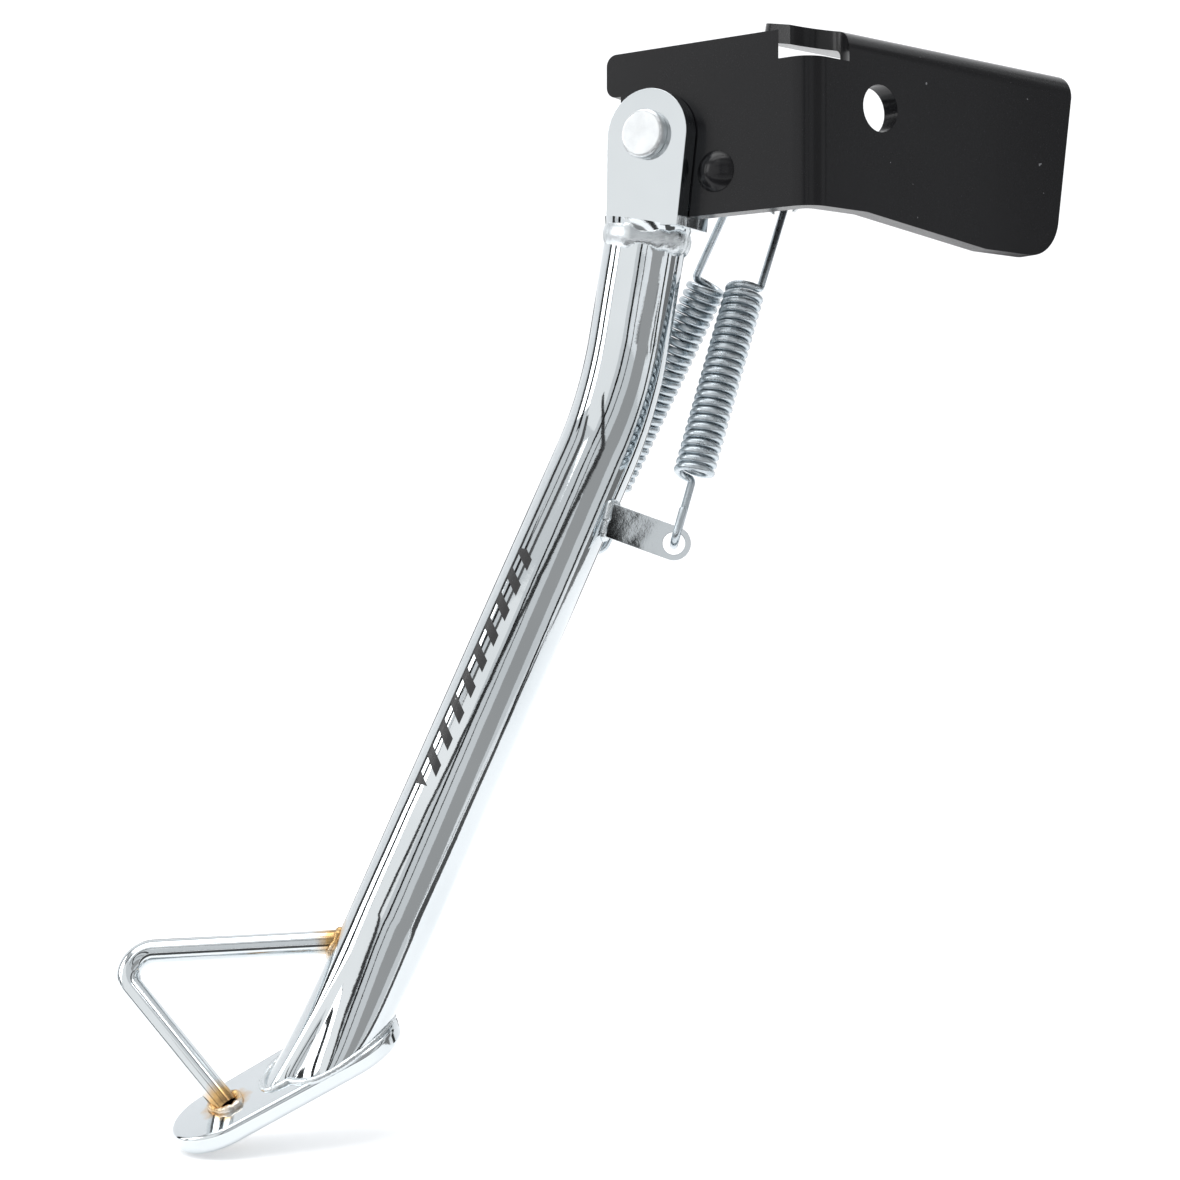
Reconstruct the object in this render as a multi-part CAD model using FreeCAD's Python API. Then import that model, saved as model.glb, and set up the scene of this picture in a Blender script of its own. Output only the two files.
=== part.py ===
"""Motorcycle side stand: folded steel bracket, swinging tube leg and two extension springs.

Millimetres, +Z up. The leg swings about an axis along Y. The bracket has an outer
face across Y, which carries the pivot, and a mounting wall folded back from it. The
model is laid out from the pivot and written with its origin at the mounting wall's
main bolt hole.
"""
import FreeCAD, Part
import math
import os
from FreeCAD import Vector

# ---- bracket: one folded steel sheet -------------------------------------------
SHEET = 5.0             # sheet thickness
FACE_REACH = 46.0       # pivot to the outer fold corner, along +X
FACE_TOP = 24.0         # pivot to the top edge
FACE_BOTTOM = 22.0      # pivot to the bottom edge
NOSE_REACH = 16.0       # pivot to the end of the nose, along -X
NOSE_DEPTH = 11.6       # height of the nose
NOSE_ROUND = 3.0        # corner radius of the nose
EYE_R = 11.5            # rounded eye of the sheet about the pivot
FOLD_ANGLE = 70.0       # how far the mounting wall is folded back
FOLD_R_IN = 3.0         # inner radius of the upright fold
WALL_LENGTH = 100.0     # outer fold corner to the wall's far end
WALL_DROP = 5.5         # how far the far end hangs below the face's bottom edge
WALL_DROP_START = 20.0  # where the wall's bottom edge starts to fall
WALL_DROP_END = 65.0    # where it is level again
WALL_END_TAPER = 7.0    # far end leans in by this much at the bottom
WALL_ROUND_BOTTOM = 12.0
FLANGE_DEPTH = 30.0     # top flange, from the wall's outer face inwards
FLANGE_RISE = 14.0      # degrees that the flange climbs inwards
FLANGE_ROUND = 6.0
FLANGE_START = 6.0      # near end of the flange, from the fold corner along the wall
FLANGE_FOLD_R = 2.0     # inner radius of the flange's fold
FLANGE_CROWN = 1.5      # the flange's fold stands this far above the face's top edge
RELIEF_D = 19.0         # round relief where the face, wall and flange meet
RELIEF_DEPTH = 7.5
RELIEF_ALONG = 5.5      # relief centre past the fold corner, along the wall
BOLT_HOLE_D = 12.5      # main frame bolt
BOLT_ALONG = 24.8       # bolt hole from the fold corner, along the wall
BOLT_UP = 5.7           # bolt hole above the pivot
FLANGE_HOLE_D = 11.0    # second frame bolt, through the flange
FLANGE_HOLE_ALONG = 72.7
FLANGE_HOLE_IN = 15.0   # from the wall's outer face

# ---- pivot and clevis ----------------------------------------------------------
PIN_D = 10.0
PIN_HEAD_D = 13.0
PIN_HEAD_H = 2.8
WASHER_D = 18.0
WASHER_T = 1.5
PEEN_H = 1.4            # upset rear end of the pin
PEEN_OVER = 1.0         # how far it spreads past the shank, radial
PIN_CHAMFER = 0.6
EAR_T = 5.0
EAR_W = 24.5            # across the round top
EAR_FOOT_W = 22.0       # across the bridge
YOKE_TILT = 4.0         # the clevis leans to -X by this angle
EAR_GAP = 0.5           # side clearance between ear and sheet
BRIDGE_IN = 19.5        # pivot to the inside of the clevis bridge
BRIDGE_T = 4.5
RUN_CLEAR = 0.05        # running clearance of the pin in the sheet, radial
STOP_CLEAR = 0.35       # gap left at the stop when the leg is down

# ---- leg -----------------------------------------------------------------------
TUBE_D = 22.0
TUBE_WALL = 2.5
TILT_UPPER = 11.0       # upper run leans to -X by this angle
UPPER_RUN = 71.7        # pivot to the bend
SPLAY_X = 0.186         # lower run: travel to -X for each unit of drop
SPLAY_Y = 0.505         # lower run: travel to -Y for each unit of drop
BEND_R = 75.0
FOOT_Z = -246.0         # centre of the foot's tip, on its top face
FOOT_X = -59.0
FOOT_Y = -109.5
FOOT_HEADING = 245.9    # direction of the tip in plan, degrees from +X
FOOT_DIP = 25.2         # the plate falls towards its tip
FOOT_ROLL = -3.1
FOOT_T = 5.0
TIP_R = 12.0
FLARE_DROP = 212.0      # depth below the pivot where the tube starts to flatten
PAD_BACK = 26.0         # centre of the flattened end behind the tip's centre
PAD_SIDE = 5.5
PAD_LONG = 17.0         # half length of the flattened end on the foot
PAD_WIDE = 11.5         # half width of it
HEEL_R = 13.5
HEEL_BACK = 30.0        # heel circle behind the tip circle
HEEL_SIDE = 4.5

# ---- kick rod ------------------------------------------------------------------
ROD_D = 6.0
ROD_TOP_DROP = 209.0    # below the pivot, where it leaves the leg
ROD_REACH = 61.5        # first run
ROD_HEADING = 213.0     # direction of the first run in plan
ROD_BEND_R = 6.0
ROD_SAG = 3.3           # fall of the first run
ROD_LAND_BACK = 2.5     # landing on the foot, behind the tip's centre

# ---- springs -------------------------------------------------------------------
POST_X = 18.0
POST_Z = -10.7
POST_D = 8.0
POST_HEAD_D = 11.0
POST_HEAD_H = 3.0
POST_COLLAR_H = 2.0     # collar behind the sheet
POST_TIP = 38.0         # rear end of the post behind the sheet's mid-plane
CLIP_FROM_TIP = 3.2     # retaining clip's groove, from the post's rear end
GROOVE_DEEP = 1.0
CLIP_D = 13.0
CLIP_T = 1.2
HOOK_Y_FRONT = 29.5     # front spring's eye on the post
HOOK_Y_REAR = 19.5      # rear spring's eye on the post
COIL_D = 11.0
WIRE_D = 2.1
EYE_CLEAR = 0.9
HOOK_RUN = 30.0         # straight wire from the post to the coil
HOOK_TAIL = 19.5        # straight wire from the coil to the tab hole
TAIL_RISE = 9.0
HOOK_ROUND = 0.66       # roundness of the lower hook, 1 for a half circle
EYE_ROUND = 0.97        # roundness of the upper eye
EYE_TAIL = 3.0          # free end of the upper eye past the post
ANCHOR_DROP = 108.5     # tab holes below the pivot
FRONT_ANCHOR = (6.15, -4.0)
REAR_ANCHOR = (-34.6, 14.0)
TAB_T = 4.0
TAB_W = 9.0
TAB_HOLE_D = 6.0
TAB_FALL = 20.0         # degrees that each tab falls away from the leg

WELD_R = 1.8            # size of the weld beads
WELD_SPREAD = 1.1       # how far a bead spreads beside the bar it holds
WELD_STAND = 1.3        # how far a tab's bead stands off the leg
PAST = 40.0             # how far a cutting or guiding shape runs past its part

UP = Vector(0, 0, 1)
ZERO = Vector(0, 0, 0)


def radial(angle, z=0.0, size=1.0):
    """Vector in plan at an angle from +X."""
    a = math.radians(angle)
    return Vector(size * math.cos(a), size * math.sin(a), z)


# ---- shared places -------------------------------------------------------------
WALL_DIR = radial(FOLD_ANGLE)
WALL_OUT = Vector(WALL_DIR.y, -WALL_DIR.x, 0)      # outward normal of the wall
CORNER = Vector(FACE_REACH, -SHEET / 2, 0)         # outer fold corner at pivot height
EAR_OUT = SHEET / 2 + EAR_GAP + EAR_T              # outer side of each ear
LEG_UP_DIR = Vector(-math.sin(math.radians(TILT_UPPER)), 0, -math.cos(math.radians(TILT_UPPER)))
YOKE_DIR = Vector(-math.sin(math.radians(YOKE_TILT)), 0, -math.cos(math.radians(YOKE_TILT)))
YOKE_SIDE = Vector(-YOKE_DIR.z, 0, YOKE_DIR.x)
BEND = LEG_UP_DIR * UPPER_RUN
LEG_LOW_DIR = Vector(-SPLAY_X, -SPLAY_Y, -1).normalize()
TUBE_TOP = BRIDGE_IN + BRIDGE_T
BOLT_CENTRE = CORNER + WALL_DIR * BOLT_ALONG - WALL_OUT * (SHEET / 2) + UP * BOLT_UP


def foot_axes():
    """Directions of the foot plate: towards its tip, across it, and up through it."""
    dip = math.radians(FOOT_DIP)
    along = radial(FOOT_HEADING) * math.cos(dip) - UP * math.sin(dip)
    level = UP.cross(along).normalize()
    roll = math.radians(FOOT_ROLL)
    across = level * math.cos(roll) + along.cross(level) * math.sin(roll)
    return along, across, along.cross(across)


FOOT_ALONG, FOOT_ACROSS, FOOT_UP = foot_axes()
FOOT_TIP = Vector(FOOT_X, FOOT_Y, FOOT_Z)


def leg_axis_at(drop):
    """Point on the lower run's axis at a depth below the pivot."""
    return BEND + LEG_LOW_DIR * ((-drop - BEND.z) / LEG_LOW_DIR.z)


# ---- shape helpers -------------------------------------------------------------
def cylinder(radius, start, end):
    """Solid cylinder between two points."""
    return Part.makeCylinder(radius, (end - start).Length, start, end - start)


def prism(points, sweep):
    """Closed polygon swept along a vector."""
    wire = Part.makePolygon(list(points) + [points[0]])
    return Part.Face(wire).extrude(sweep)


def round_edges(solid, direction, radius, keep):
    """Fillet the straight edges along a direction whose middle passes keep(point)."""
    chosen = []
    for edge in solid.Edges:
        if len(edge.Vertexes) < 2:
            continue
        run = edge.Vertexes[1].Point - edge.Vertexes[0].Point
        if run.Length > 0.1 and run.cross(direction).Length < 1e-4 * run.Length:
            if keep(edge.CenterOfMass):
                chosen.append(edge)
    return solid.makeFillet(radius, chosen)


def filleted_path(points, radius):
    """Straight runs joined by tangent arcs, as one wire."""
    edges = []
    start = points[0]
    for before, corner, after in zip(points, points[1:], points[2:]):
        to_start = (before - corner).normalize()
        to_end = (after - corner).normalize()
        half = to_start.getAngle(to_end) / 2
        setback = radius / math.tan(half)
        arc_in = corner + to_start * setback
        arc_out = corner + to_end * setback
        centre = corner + (to_start + to_end).normalize() * (radius / math.sin(half))
        arc_mid = centre + (corner - centre).normalize() * radius
        if (arc_in - start).Length > 1e-6:
            edges.append(Part.LineSegment(start, arc_in).toShape())
        edges.append(Part.Arc(arc_in, arc_mid, arc_out).toShape())
        start = arc_out
    edges.append(Part.LineSegment(start, points[-1]).toShape())
    return Part.Wire(edges)


def bent_rod(points, bend_radius, radius):
    """Round bar along a filleted path."""
    path = filleted_path(points, bend_radius)
    ring = Part.Wire(Part.makeCircle(radius, points[0], points[1] - points[0]))
    return path.makePipeShell([ring], True, False)


def bead(radius, centre, direction, size):
    """Ring of weld metal round a joint."""
    return Part.makeTorus(radius, size, centre, direction)


# ---- bracket -------------------------------------------------------------------
def face_outline():
    """Outer face seen along Y, up to the start of the fold."""
    nose_z = FACE_TOP - NOSE_DEPTH
    side = EAR_FOOT_W / 2 + STOP_CLEAR
    stop_top = YOKE_DIR * (EYE_R * 0.6) + YOKE_SIDE * side
    stop_low = stop_top + YOKE_DIR * ((-FACE_BOTTOM - stop_top.z) / YOKE_DIR.z)
    end = FACE_REACH - fold_setback()
    return [(-NOSE_REACH, FACE_TOP), (end, FACE_TOP), (end, -FACE_BOTTOM), (stop_low.x, stop_low.z),
            (stop_top.x, stop_top.z), (-EYE_R * 0.7, -EYE_R * 0.5), (-EYE_R, 0), (-EYE_R, nose_z),
            (-NOSE_REACH, nose_z)]


def fold_setback():
    """Distance from the outer fold corner to the start of the round."""
    return (FOLD_R_IN + SHEET) * math.tan(math.radians(FOLD_ANGLE / 2))


def bracket_face():
    """Outer face with its nose and its rounded eye."""
    front = [Vector(x, -SHEET / 2, z) for x, z in face_outline()]
    face = prism(front, Vector(0, SHEET, 0))
    face = round_edges(face, Vector(0, 1, 0), NOSE_ROUND, lambda p: p.x < -NOSE_REACH + 1)
    eye = cylinder(EYE_R, Vector(0, -SHEET / 2, 0), Vector(0, SHEET / 2, 0))
    return face.fuse(eye)


def bracket_fold():
    """Vertical round between the face and the wall."""
    centre = Vector(FACE_REACH - fold_setback(), -SHEET / 2 + FOLD_R_IN + SHEET, -FACE_BOTTOM)
    height = FACE_TOP + FACE_BOTTOM
    sector = Part.makeCylinder(FOLD_R_IN + SHEET, height, centre, UP, FOLD_ANGLE)
    sector.rotate(centre, UP, -90)
    return sector.cut(Part.makeCylinder(FOLD_R_IN, height, centre, UP))


def wall_point(along, z, inwards=0.0):
    """Point on the wall, from the outer fold corner."""
    return CORNER + WALL_DIR * along - WALL_OUT * inwards + UP * z


def flange_root():
    """Height at which the wall starts to fold into the flange."""
    return FACE_TOP + FLANGE_CROWN - (FLANGE_FOLD_R + SHEET) * math.cos(math.radians(FLANGE_RISE))


def bracket_wall():
    """Mounting wall with its falling bottom edge and rounded far end."""
    low = -FACE_BOTTOM - WALL_DROP
    root = flange_root()
    outline = [(fold_setback(), FACE_TOP), (FLANGE_START, FACE_TOP), (FLANGE_START, root),
               (WALL_LENGTH, root), (WALL_LENGTH - WALL_END_TAPER, low),
               (WALL_DROP_END, low), (WALL_DROP_START, -FACE_BOTTOM), (fold_setback(), -FACE_BOTTOM)]
    wall = prism([wall_point(a, z) for a, z in outline], WALL_OUT * -SHEET)
    far = wall_point(WALL_LENGTH - WALL_END_TAPER, low, SHEET / 2)
    return round_edges(wall, WALL_OUT, WALL_ROUND_BOTTOM, lambda p: (p - far).Length < 1)


def bracket_flange():
    """Top flange, folded inwards from the wall and climbing a little."""
    rise = math.radians(FLANGE_RISE)
    inward = WALL_OUT * -math.cos(rise) + UP * math.sin(rise)
    upward = WALL_OUT * math.sin(rise) + UP * math.cos(rise)
    start = FLANGE_START
    round_out = FLANGE_FOLD_R + SHEET
    near = wall_point(start, flange_root())
    run = WALL_DIR * (WALL_LENGTH - start)
    turn = math.radians(90 - FLANGE_RISE)
    centre = near - WALL_OUT * round_out
    mid = centre + (WALL_OUT * math.cos(turn / 2) + UP * math.sin(turn / 2)) * round_out
    mid_in = centre + (WALL_OUT * math.cos(turn / 2) + UP * math.sin(turn / 2)) * FLANGE_FOLD_R
    out_end = centre + upward * round_out
    in_end = centre + upward * FLANGE_FOLD_R
    flat = inward * (FLANGE_DEPTH - round_out)
    edges = [Part.Arc(near, mid, out_end).toShape(),
             Part.LineSegment(out_end, out_end + flat).toShape(),
             Part.LineSegment(out_end + flat, in_end + flat).toShape(),
             Part.LineSegment(in_end + flat, in_end).toShape(),
             Part.Arc(in_end, mid_in, near - WALL_OUT * SHEET).toShape(),
             Part.LineSegment(near - WALL_OUT * SHEET, near).toShape()]
    flange = Part.Face(Part.Wire(edges)).extrude(run)
    inner_edge = (out_end + flat + in_end + flat) * 0.5

    def at_inner_corner(point):
        return abs((point - inner_edge).dot(inward)) < 1

    flange = round_edges(flange, upward, FLANGE_ROUND, at_inner_corner)
    spot = out_end + inward * (FLANGE_HOLE_IN - round_out) + WALL_DIR * (FLANGE_HOLE_ALONG - start)
    hole = cylinder(FLANGE_HOLE_D / 2, spot - upward * 2 * SHEET, spot + upward * SHEET)
    return flange.cut(hole), spot - upward * (SHEET / 2), upward


def bracket_plate():
    """Whole folded bracket with its holes."""
    flange, _, _ = bracket_flange()
    sheet = bracket_face().fuse([bracket_fold(), bracket_wall(), flange])
    reach = Vector(0, 2 * SHEET, 0)
    pivot = cylinder(PIN_D / 2 + RUN_CLEAR, -reach, reach)
    post_at = Vector(POST_X, 0, POST_Z)
    post = cylinder(POST_D / 2, post_at - reach, post_at + reach)
    bolt = cylinder(BOLT_HOLE_D / 2, BOLT_CENTRE - WALL_OUT * 2 * SHEET, BOLT_CENTRE + WALL_OUT * 2 * SHEET)
    relief_at = wall_point(RELIEF_ALONG, FACE_TOP - RELIEF_DEPTH, SHEET)
    relief = Part.makeCylinder(RELIEF_D / 2, 4 * RELIEF_DEPTH, relief_at, UP)
    return sheet.cut([pivot, post, bolt, relief]).removeSplitter()


def spring_post():
    """Headed rivet through the face that carries both spring eyes."""
    centre = Vector(POST_X, 0, POST_Z)
    back = Vector(0, 1, 0)
    shank = cylinder(POST_D / 2, centre - back * (SHEET / 2), centre + back * POST_TIP)
    behind = centre + back * (SHEET / 2)
    collar = cylinder(POST_HEAD_D / 2, behind, behind + back * POST_COLLAR_H)
    ball_r = (POST_HEAD_D ** 2 / 4 + POST_HEAD_H ** 2) / (2 * POST_HEAD_H)
    ball_at = centre - back * (SHEET / 2 + POST_HEAD_H - ball_r)
    dome = Part.makeSphere(ball_r, ball_at)
    block = cylinder(POST_HEAD_D / 2, centre - back * (SHEET / 2 + POST_HEAD_H), centre - back * (SHEET / 2))
    post = shank.fuse([collar, dome.common(block)])
    groove_at = centre + back * (POST_TIP - CLIP_FROM_TIP)
    groove = cylinder(POST_D, groove_at, groove_at + back * CLIP_T)
    groove = groove.cut(cylinder(POST_D / 2 - GROOVE_DEEP, groove_at - back, groove_at + back * 3))
    return post.cut(groove).removeSplitter()


def post_clip():
    """Open retaining clip in the post's groove."""
    back = Vector(0, 1, 0)
    base = Vector(POST_X, POST_TIP - CLIP_FROM_TIP, POST_Z)
    ring = cylinder(CLIP_D / 2, base, base + back * CLIP_T)
    bore = cylinder(POST_D / 2 - GROOVE_DEEP, base - back, base + back * 3)
    mouth = Part.makeBox(POST_D - 2 * GROOVE_DEEP, 3 * CLIP_T, CLIP_D,
                         base + Vector(GROOVE_DEEP - POST_D / 2, -CLIP_T, -CLIP_D))
    return ring.cut([bore, mouth])


# ---- pivot and clevis ----------------------------------------------------------
def pivot_pin():
    """Headed pin through both ears, upset over the washer at the rear."""
    back = Vector(0, 1, 0)
    shank = cylinder(PIN_D / 2, back * -EAR_OUT, back * (EAR_OUT + WASHER_T))
    head = cylinder(PIN_HEAD_D / 2, back * (-EAR_OUT - PIN_HEAD_H), back * -EAR_OUT)
    rim = [e for e in head.Edges if e.CenterOfMass.y < -EAR_OUT - PIN_HEAD_H + 0.1 and e.Closed]
    head = head.makeChamfer(PIN_CHAMFER, rim)
    peen = cylinder(PIN_D / 2 + PEEN_OVER, back * (EAR_OUT + WASHER_T), back * (EAR_OUT + WASHER_T + PEEN_H))
    return shank.fuse([head, peen]).removeSplitter()


def pivot_washer():
    """Plain washer under the upset end."""
    back = Vector(0, 1, 0)
    disc = cylinder(WASHER_D / 2, back * EAR_OUT, back * (EAR_OUT + WASHER_T))
    return disc.cut(cylinder(PIN_D / 2, ZERO, back * 2 * EAR_OUT))


def clevis_yoke():
    """Two round-topped ears joined by a bridge."""
    half = EAR_W / 2
    foot = EAR_FOOT_W / 2
    low = YOKE_DIR * TUBE_TOP
    ears = []
    for inner in (SHEET / 2 + EAR_GAP, -EAR_OUT):
        start = Vector(0, inner, 0)
        outline = [start + YOKE_SIDE * half, start + YOKE_SIDE * foot + low,
                   start - YOKE_SIDE * foot + low, start - YOKE_SIDE * half]
        ears.append(prism(outline, Vector(0, EAR_T, 0)))
        ears.append(cylinder(half, start, start + Vector(0, EAR_T, 0)))
    top = YOKE_DIR * BRIDGE_IN - Vector(0, EAR_OUT, 0)
    bridge = prism([top + YOKE_SIDE * foot, top + YOKE_SIDE * foot + YOKE_DIR * BRIDGE_T,
                    top - YOKE_SIDE * foot + YOKE_DIR * BRIDGE_T, top - YOKE_SIDE * foot],
                   Vector(0, 2 * EAR_OUT, 0))
    yoke = ears[0].fuse(ears[1:] + [bridge])
    bore = cylinder(PIN_D / 2, Vector(0, -2 * EAR_OUT, 0), Vector(0, 2 * EAR_OUT, 0))
    return yoke.cut(bore).removeSplitter()


def yoke_weld():
    """Bead where the tube's end meets the bridge."""
    centre = LEG_UP_DIR * (TUBE_TOP / LEG_UP_DIR.dot(YOKE_DIR)) + YOKE_DIR * WELD_SPREAD
    ring = bead(TUBE_D / 2, centre, YOKE_DIR, WELD_R)
    tube = cylinder(TUBE_D / 2, LEG_UP_DIR * BRIDGE_IN, LEG_UP_DIR * 2 * TUBE_TOP)
    return ring.cut([tube, above_tube()])


# ---- leg -----------------------------------------------------------------------
def leg_run(radius):
    """Bar along the leg's axis, long enough to pass the foot."""
    top = LEG_UP_DIR * TUBE_TOP
    return bent_rod([top, BEND, leg_axis_at(-FOOT_Z + PAST)], BEND_R, radius)


def below_foot(depth):
    """Block of space under a plane parallel to the foot plate."""
    size = 200.0
    centre = FOOT_TIP - FOOT_UP * depth
    corners = [centre + FOOT_ALONG * a * size + FOOT_ACROSS * b * size for a, b in
               ((-1, -1), (1, -1), (1, 1), (-1, 1))]
    return prism(corners, FOOT_UP * -size)


def oval(centre, along, across, half_long, half_wide):
    """Ellipse as a wire, its long half first."""
    if half_long == half_wide:
        curve = Part.Circle(ZERO, UP, half_long)
    else:
        curve = Part.Ellipse(ZERO, half_long, half_wide)
    wire = Part.Wire(curve.toShape())
    wire.Placement = FreeCAD.Placement(centre, FreeCAD.Rotation(along, across, along.cross(across), "ZXY"))
    return wire


def flare(shrink):
    """Solid end of the leg, from the round tube to the flat oval on the foot."""
    start = leg_axis_at(FLARE_DROP)
    across = LEG_LOW_DIR.cross(FOOT_ALONG).normalize()
    ahead = across.cross(LEG_LOW_DIR).normalize()
    end = FOOT_TIP - FOOT_ALONG * PAD_BACK + FOOT_ACROSS * PAD_SIDE
    level = FOOT_UP.cross(FOOT_ALONG)
    if across.dot(level) < 0:
        level = level * -1
    radius = TUBE_D / 2 - shrink
    sections = [oval(start, ahead, across, radius, radius),
                oval(end, FOOT_ALONG, level, PAD_LONG - shrink, PAD_WIDE - shrink)]
    return Part.makeLoft(sections, True, False)


def above_tube():
    """Block of space over the plane where the clevis meets the tube."""
    size = 2 * TUBE_D
    level = YOKE_DIR * TUBE_TOP
    wide, deep = YOKE_SIDE * size, Vector(0, size, 0)
    return prism([level - wide - deep, level + wide - deep, level + wide + deep, level - wide + deep],
                 YOKE_DIR * -size)


def leg_solid(shrink):
    """Filled leg, thinner all round by a wall."""
    top = LEG_UP_DIR * (TUBE_TOP * 0.6)
    run = bent_rod([top, BEND, leg_axis_at(FLARE_DROP)], BEND_R, TUBE_D / 2 - shrink)
    return run.fuse(flare(shrink)).cut(above_tube())


def leg_tube():
    """Bent tube whose flattened lower end sits on the foot plate."""
    return leg_solid(0).cut(leg_solid(TUBE_WALL)).removeSplitter()


def foot_outline(grow, drop, height):
    """Tip circle, heel circle and the straight sides between them, as a prism."""
    tip = FOOT_TIP - FOOT_UP * drop
    heel = tip - FOOT_ALONG * HEEL_BACK + FOOT_ACROSS * HEEL_SIDE
    tip_r, heel_r = TIP_R + grow, HEEL_R + grow
    span = heel - tip
    lean = math.asin((heel_r - tip_r) / span.Length)
    ahead = span.normalize()
    aside = FOOT_UP.cross(ahead)
    left = aside * math.cos(lean) - ahead * math.sin(lean)
    right = aside * -math.cos(lean) - ahead * math.sin(lean)
    sides = prism([tip + left * tip_r, heel + left * heel_r, heel + right * heel_r, tip + right * tip_r],
                  FOOT_UP * height)
    ends = [cylinder(r, c, c + FOOT_UP * height) for r, c in ((tip_r, tip), (heel_r, heel))]
    return sides.fuse(ends).removeSplitter()


def foot_plate():
    """Flat foot under the leg, its edges rounded."""
    plate = foot_outline(0, FOOT_T, FOOT_T)
    rims = [e for e in plate.Edges if abs((e.CenterOfMass - FOOT_TIP).dot(FOOT_UP) + FOOT_T) < 0.1]
    return plate.makeFillet(FOOT_T * 0.35, rims)


def foot_weld():
    """Bead round the tube where it meets the foot plate."""
    fat = flare(-WELD_SPREAD)
    slab = foot_outline(0, 0, WELD_R)
    return fat.common(slab).cut(flare(0))


# ---- kick rod ------------------------------------------------------------------
def rod_points():
    """Start inside the leg's wall, the bend, and the landing on the foot's tip."""
    heading = radial(ROD_HEADING)
    start = leg_axis_at(ROD_TOP_DROP) + heading * (TUBE_D / 2 - TUBE_WALL)
    corner = start + heading * ROD_REACH - UP * ROD_SAG
    return start, corner, FOOT_TIP - FOOT_ALONG * ROD_LAND_BACK


def kick_rod():
    """V-bent bar from the leg to the foot's tip."""
    start, corner, land = rod_points()
    rod = bent_rod([start, corner, land - FOOT_UP * ROD_D], ROD_BEND_R, ROD_D / 2)
    return rod.cut([leg_solid(0), below_foot(0)])


def rod_leg_weld():
    """Bead round the rod on the leg."""
    start, corner, _ = rod_points()
    axis = (corner - start).normalize()
    ring = cylinder(ROD_D / 2 + WELD_SPREAD, start, start + axis * (TUBE_WALL + WELD_R))
    return ring.cut([leg_solid(0), kick_rod()])


def rod_foot_weld():
    """Bead round the rod on the foot plate."""
    _, corner, land = rod_points()
    axis = (corner - land).normalize()
    ring = cylinder(ROD_D / 2 + WELD_SPREAD, land - axis * ROD_D, land + axis * (WELD_R + 1))
    return ring.cut([below_foot(0), kick_rod()])


# ---- spring tabs ---------------------------------------------------------------
def tab_axes(anchor):
    """Root on the leg's axis, direction along the tab, and the hole's direction."""
    root = leg_axis_at(ANCHOR_DROP)
    hole = Vector(anchor[0], anchor[1], -ANCHOR_DROP)
    flat = Vector(hole.x - root.x, hole.y - root.y, 0)
    reach = flat.Length
    flat.normalize()
    fall = math.radians(TAB_FALL)
    along = flat * math.cos(fall) - UP * math.sin(fall)
    return hole - along * (reach / math.cos(fall)), hole, along, UP.cross(flat)


def spring_tab(anchor):
    """Flat bar with a rounded, drilled end, welded to the leg."""
    root, hole, along, through = tab_axes(anchor)
    wide = through.cross(along)
    base = root - through * (TAB_T / 2)
    tip = hole - through * (TAB_T / 2)
    bar = prism([base + wide * (TAB_W / 2), tip + wide * (TAB_W / 2),
                 tip - wide * (TAB_W / 2), base - wide * (TAB_W / 2)], through * TAB_T)
    bar = bar.fuse(cylinder(TAB_W / 2, tip, tip + through * TAB_T))
    drill = cylinder(TAB_HOLE_D / 2, hole - through * TAB_T, hole + through * TAB_T)
    return bar.cut([drill, leg_run(TUBE_D / 2)]).removeSplitter()


def tab_weld(anchor):
    """Bead round the tab's root."""
    root, _, along, through = tab_axes(anchor)
    wide = through.cross(along)
    grow_t, grow_w = TAB_T / 2 + WELD_SPREAD, TAB_W / 2 + WELD_SPREAD
    corners = [root + through * a * grow_t + wide * b * grow_w for a, b in
               ((-1, -1), (1, -1), (1, 1), (-1, 1))]
    block = prism(corners, along * PAST)
    shell = leg_run(TUBE_D / 2 + WELD_STAND).cut(leg_run(TUBE_D / 2))
    pad = block.common(shell)
    return pad.cut(tab_block(anchor))


def tab_block(anchor):
    """Space that the tab's bar fills at its root."""
    root, _, along, through = tab_axes(anchor)
    wide = through.cross(along)
    corners = [root + through * a * TAB_T / 2 + wide * b * TAB_W / 2 for a, b in
               ((-1, -1), (1, -1), (1, 1), (-1, 1))]
    return prism(corners, along * PAST)


# ---- springs -------------------------------------------------------------------
def spring_line(hook_y, anchor, turn):
    """Eye centre, hook centre, direction between them and the eye's side: turn is 1 for +X or -1."""
    eye = Vector(POST_X, hook_y, POST_Z)
    hook = Vector(anchor[0], anchor[1], -ANCHOR_DROP)
    along = (hook - eye).normalize()
    side = along.cross(Vector(0, turn, 0)).normalize()
    return eye, hook, along, side


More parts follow.
